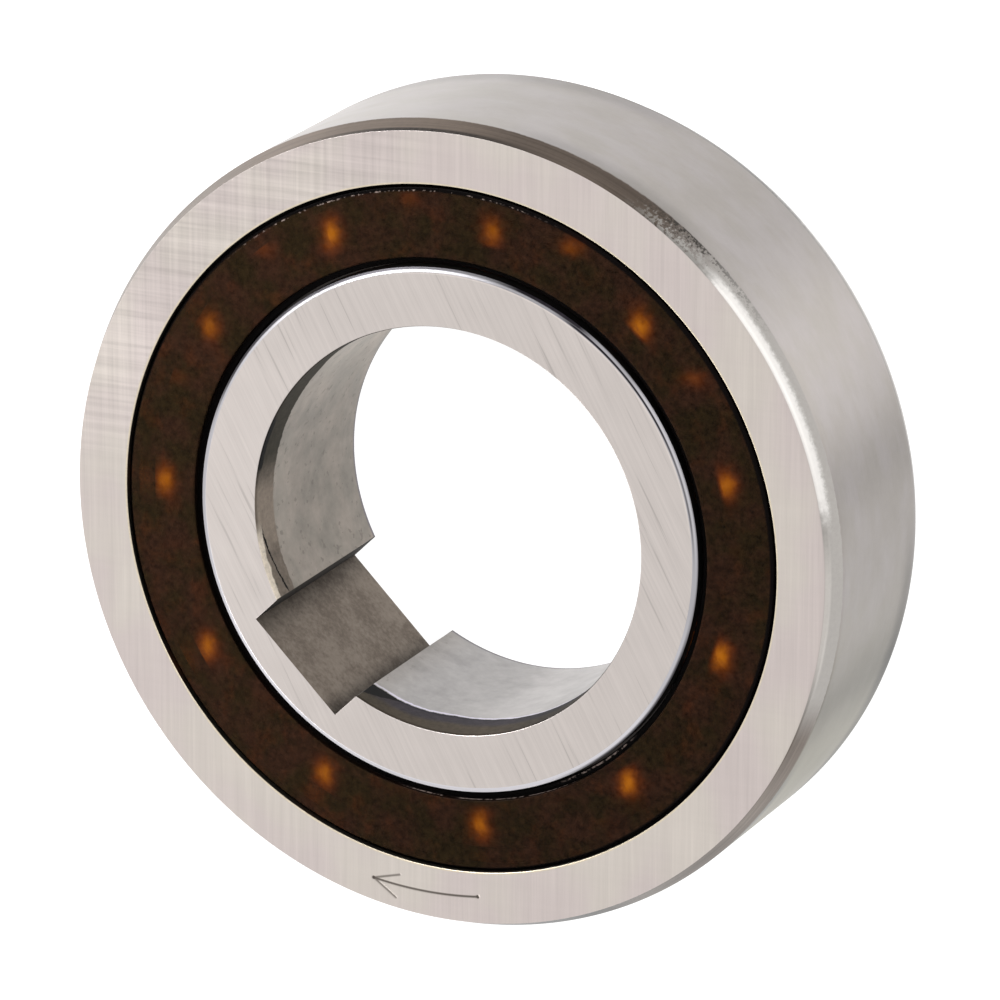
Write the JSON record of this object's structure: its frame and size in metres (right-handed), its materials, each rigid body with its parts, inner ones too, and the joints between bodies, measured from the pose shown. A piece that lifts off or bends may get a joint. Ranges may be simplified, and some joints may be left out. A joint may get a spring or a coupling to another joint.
{
  "type": "sprag clutch",
  "caption": "One-way sprag clutch in a shielded ball bearing envelope, with a keyway in its bore; the inner ring turns freely one way and locks the other.",
  "frame": {"origin": "middle of the bore: on its axis, halfway between the two faces", "axes": "+Z along the bore's axis, out of the face that carries the arrow; the keyway lies along +Y"},
  "size_m": [0.08, 0.08, 0.022],
  "materials": {
    "ring_steel": "ground",
    "ball_steel": "polished",
    "sprag_steel": "ground",
    "spring_steel": "satin",
    "shield_plastic": "satin, slightly see-through",
    "cage_plastic": "satin"
  },
  "bodies": {
    "outer_ring": {"outer_ring": "ring_steel", "front_shield": "shield_plastic", "rear_shield": "shield_plastic"},
    "inner_ring": {"inner_ring": "ring_steel"},
    "cage": {"cage": "cage_plastic", "cage_end_ring": "cage_plastic", "front_garter_spring": "spring_steel", "rear_garter_spring": "spring_steel"},
    "ball_01": {"ball_01": "ball_steel"},
    "ball_02": {"ball_02": "ball_steel"},
    "ball_03": {"ball_03": "ball_steel"},
    "ball_04": {"ball_04": "ball_steel"},
    "ball_05": {"ball_05": "ball_steel"},
    "ball_06": {"ball_06": "ball_steel"},
    "ball_07": {"ball_07": "ball_steel"},
    "ball_08": {"ball_08": "ball_steel"},
    "ball_09": {"ball_09": "ball_steel"},
    "ball_10": {"ball_10": "ball_steel"},
    "ball_11": {"ball_11": "ball_steel"},
    "sprag_01": {"sprag_01": "sprag_steel"},
    "sprag_02": {"sprag_02": "sprag_steel"},
    "sprag_03": {"sprag_03": "sprag_steel"},
    "sprag_04": {"sprag_04": "sprag_steel"},
    "sprag_05": {"sprag_05": "sprag_steel"},
    "sprag_06": {"sprag_06": "sprag_steel"},
    "sprag_07": {"sprag_07": "sprag_steel"},
    "sprag_08": {"sprag_08": "sprag_steel"},
    "sprag_09": {"sprag_09": "sprag_steel"},
    "sprag_10": {"sprag_10": "sprag_steel"},
    "sprag_11": {"sprag_11": "sprag_steel"}
  },
  "joints": [
    {"name": "inner_ring_spin", "type": "hinge", "parent": "outer_ring", "child": "inner_ring", "pos_m": [0, 0, 0], "axis": [0, 0, 1], "range_deg": [0, 360]},
    {"name": "cage_spin", "type": "hinge", "parent": "outer_ring", "child": "cage", "pos_m": [0, 0, 0], "axis": [0, 0, 1], "range_deg": [0, 156.2]},
    {"name": "ball_01_spin", "type": "hinge", "parent": "cage", "child": "ball_01", "pos_m": [0.0294, 0.00598, 0], "axis": [0, 0, 1], "range_deg": [-1337, 0]},
    {"name": "ball_02_spin", "type": "hinge", "parent": "cage", "child": "ball_02", "pos_m": [0.0215, 0.02092, 0], "axis": [0, 0, 1], "range_deg": [-1337, 0]},
    {"name": "ball_03_spin", "type": "hinge", "parent": "cage", "child": "ball_03", "pos_m": [0.00677, 0.02923, 0], "axis": [0, 0, 1], "range_deg": [-1337, 0]},
    {"name": "ball_04_spin", "type": "hinge", "parent": "cage", "child": "ball_04", "pos_m": [-0.0101, 0.02825, 0], "axis": [0, 0, 1], "range_deg": [-1337, 0]},
    {"name": "ball_05_spin", "type": "hinge", "parent": "cage", "child": "ball_05", "pos_m": [-0.02377, 0.0183, 0], "axis": [0, 0, 1], "range_deg": [-1337, 0]},
    {"name": "ball_06_spin", "type": "hinge", "parent": "cage", "child": "ball_06", "pos_m": [-0.02989, 0.00254, 0], "axis": [0, 0, 1], "range_deg": [-1337, 0]},
    {"name": "ball_07_spin", "type": "hinge", "parent": "cage", "child": "ball_07", "pos_m": [-0.02652, -0.01402, 0], "axis": [0, 0, 1], "range_deg": [-1337, 0]},
    {"name": "ball_08_spin", "type": "hinge", "parent": "cage", "child": "ball_08", "pos_m": [-0.01473, -0.02613, 0], "axis": [0, 0, 1], "range_deg": [-1337, 0]},
    {"name": "ball_09_spin", "type": "hinge", "parent": "cage", "child": "ball_09", "pos_m": [0.00174, -0.02995, 0], "axis": [0, 0, 1], "range_deg": [-1337, 0]},
    {"name": "ball_10_spin", "type": "hinge", "parent": "cage", "child": "ball_10", "pos_m": [0.01765, -0.02426, 0], "axis": [0, 0, 1], "range_deg": [-1337, 0]},
    {"name": "ball_11_spin", "type": "hinge", "parent": "cage", "child": "ball_11", "pos_m": [0.02797, -0.01086, 0], "axis": [0, 0, 1], "range_deg": [-1337, 0]},
    {"name": "sprag_01_rock", "type": "hinge", "parent": "cage", "child": "sprag_01", "pos_m": [0.02652, 0.01402, 0], "axis": [0, 0, 1], "range_deg": [-5, 2], "stiffness_Nm_per_rad": 0.0005},
    {"name": "sprag_02_rock", "type": "hinge", "parent": "cage", "child": "sprag_02", "pos_m": [0.01473, 0.02613, 0], "axis": [0, 0, 1], "range_deg": [-5, 2], "stiffness_Nm_per_rad": 0.0005},
    {"name": "sprag_03_rock", "type": "hinge", "parent": "cage", "child": "sprag_03", "pos_m": [-0.00174, 0.02995, 0], "axis": [0, 0, 1], "range_deg": [-5, 2], "stiffness_Nm_per_rad": 0.0005},
    {"name": "sprag_04_rock", "type": "hinge", "parent": "cage", "child": "sprag_04", "pos_m": [-0.01765, 0.02426, 0], "axis": [0, 0, 1], "range_deg": [-5, 2], "stiffness_Nm_per_rad": 0.0005},
    {"name": "sprag_05_rock", "type": "hinge", "parent": "cage", "child": "sprag_05", "pos_m": [-0.02797, 0.01086, 0], "axis": [0, 0, 1], "range_deg": [-5, 2], "stiffness_Nm_per_rad": 0.0005},
    {"name": "sprag_06_rock", "type": "hinge", "parent": "cage", "child": "sprag_06", "pos_m": [-0.0294, -0.00598, 0], "axis": [0, 0, 1], "range_deg": [-5, 2], "stiffness_Nm_per_rad": 0.0005},
    {"name": "sprag_07_rock", "type": "hinge", "parent": "cage", "child": "sprag_07", "pos_m": [-0.0215, -0.02092, 0], "axis": [0, 0, 1], "range_deg": [-5, 2], "stiffness_Nm_per_rad": 0.0005},
    {"name": "sprag_08_rock", "type": "hinge", "parent": "cage", "child": "sprag_08", "pos_m": [-0.00677, -0.02923, 0], "axis": [0, 0, 1], "range_deg": [-5, 2], "stiffness_Nm_per_rad": 0.0005},
    {"name": "sprag_09_rock", "type": "hinge", "parent": "cage", "child": "sprag_09", "pos_m": [0.0101, -0.02825, 0], "axis": [0, 0, 1], "range_deg": [-5, 2], "stiffness_Nm_per_rad": 0.0005},
    {"name": "sprag_10_rock", "type": "hinge", "parent": "cage", "child": "sprag_10", "pos_m": [0.02377, -0.0183, 0], "axis": [0, 0, 1], "range_deg": [-5, 2], "stiffness_Nm_per_rad": 0.0005},
    {"name": "sprag_11_rock", "type": "hinge", "parent": "cage", "child": "sprag_11", "pos_m": [0.02989, -0.00254, 0], "axis": [0, 0, 1], "range_deg": [-5, 2], "stiffness_Nm_per_rad": 0.0005}
  ],
  "couplings": [
    {"joint": "cage_spin", "follows": "inner_ring_spin", "ratio": 0.43385},
    {"joint": "ball_01_spin", "follows": "inner_ring_spin", "ratio": -3.7131},
    {"joint": "ball_02_spin", "follows": "inner_ring_spin", "ratio": -3.7131},
    {"joint": "ball_03_spin", "follows": "inner_ring_spin", "ratio": -3.7131},
    {"joint": "ball_04_spin", "follows": "inner_ring_spin", "ratio": -3.7131},
    {"joint": "ball_05_spin", "follows": "inner_ring_spin", "ratio": -3.7131},
    {"joint": "ball_06_spin", "follows": "inner_ring_spin", "ratio": -3.7131},
    {"joint": "ball_07_spin", "follows": "inner_ring_spin", "ratio": -3.7131},
    {"joint": "ball_08_spin", "follows": "inner_ring_spin", "ratio": -3.7131},
    {"joint": "ball_09_spin", "follows": "inner_ring_spin", "ratio": -3.7131},
    {"joint": "ball_10_spin", "follows": "inner_ring_spin", "ratio": -3.7131},
    {"joint": "ball_11_spin", "follows": "inner_ring_spin", "ratio": -3.7131},
    {"joint": "sprag_02_rock", "follows": "sprag_01_rock", "ratio": 1},
    {"joint": "sprag_03_rock", "follows": "sprag_01_rock", "ratio": 1},
    {"joint": "sprag_04_rock", "follows": "sprag_01_rock", "ratio": 1},
    {"joint": "sprag_05_rock", "follows": "sprag_01_rock", "ratio": 1},
    {"joint": "sprag_06_rock", "follows": "sprag_01_rock", "ratio": 1},
    {"joint": "sprag_07_rock", "follows": "sprag_01_rock", "ratio": 1},
    {"joint": "sprag_08_rock", "follows": "sprag_01_rock", "ratio": 1},
    {"joint": "sprag_09_rock", "follows": "sprag_01_rock", "ratio": 1},
    {"joint": "sprag_10_rock", "follows": "sprag_01_rock", "ratio": 1},
    {"joint": "sprag_11_rock", "follows": "sprag_01_rock", "ratio": 1}
  ]
}
